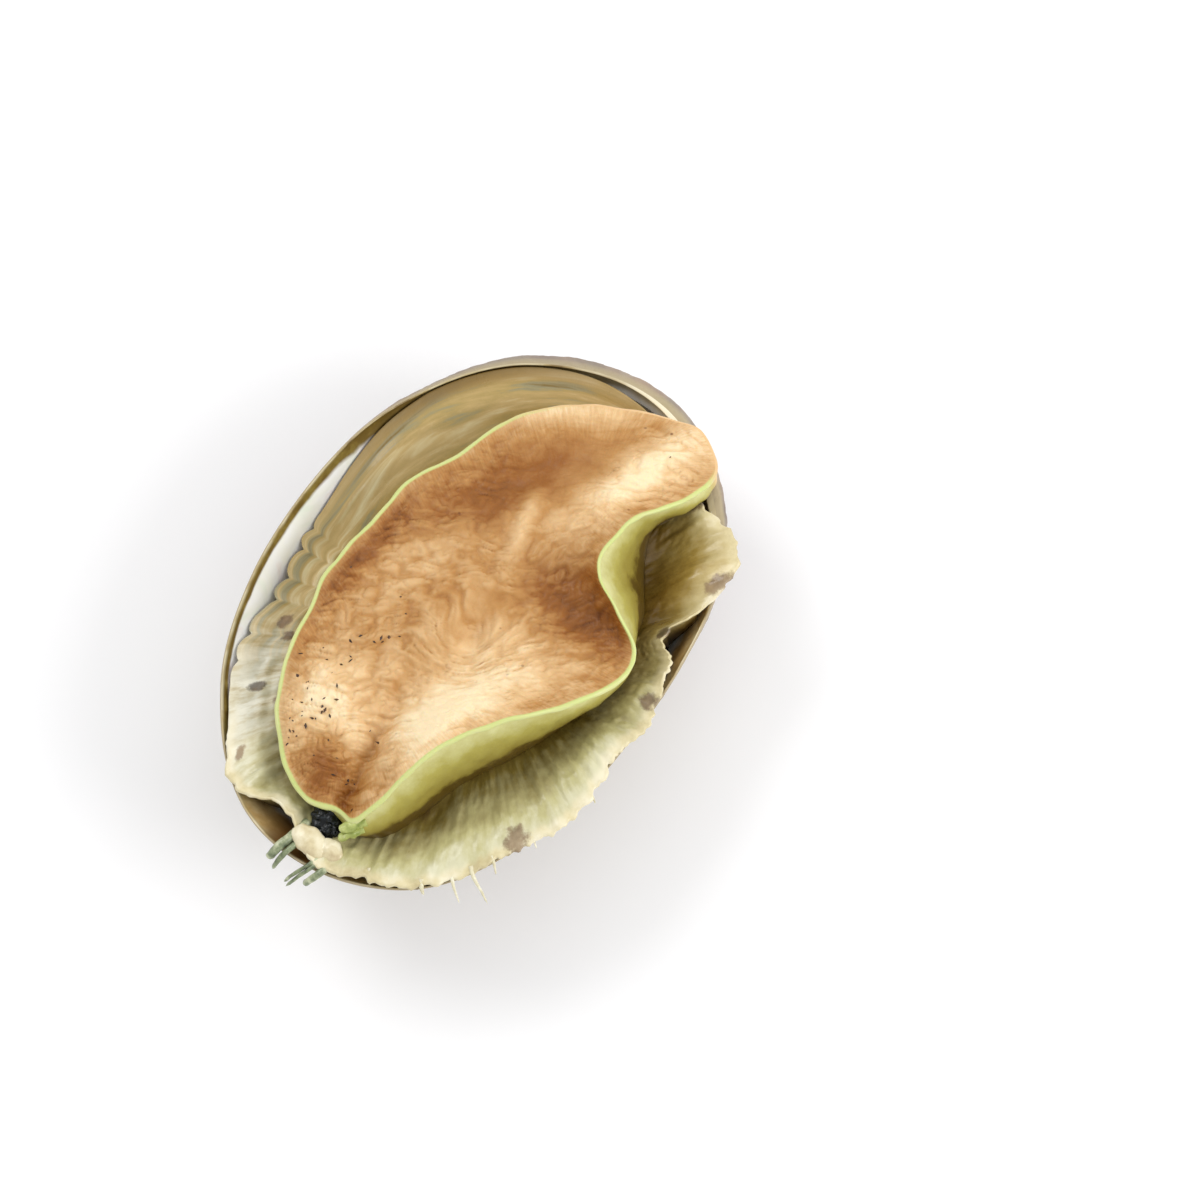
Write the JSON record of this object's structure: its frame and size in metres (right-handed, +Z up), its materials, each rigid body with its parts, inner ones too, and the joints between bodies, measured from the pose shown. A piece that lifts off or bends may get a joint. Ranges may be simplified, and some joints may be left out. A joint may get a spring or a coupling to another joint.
{
  "type": "abalone shell with its meat",
  "caption": "Oval domed abalone shell lying mouth up, with the raw foot muscle, green lip and frilled mantle still seated in it.",
  "frame": {"origin": "middle of the whole outline, on the floor under the worn crown of the shell", "axes": "+X towards the spire end, +Y towards the side with the breathing pores, +Z up out of the shell's mouth"},
  "size_m": [0.162, 0.1116, 0.063],
  "materials": {
    "shell": "natural shell: crusted and matt outside, nacre inside",
    "flesh": "wet raw flesh"
  },
  "bodies": {
    "root": {"shell": "shell", "soft_body": "flesh"}
  },
  "joints": []
}
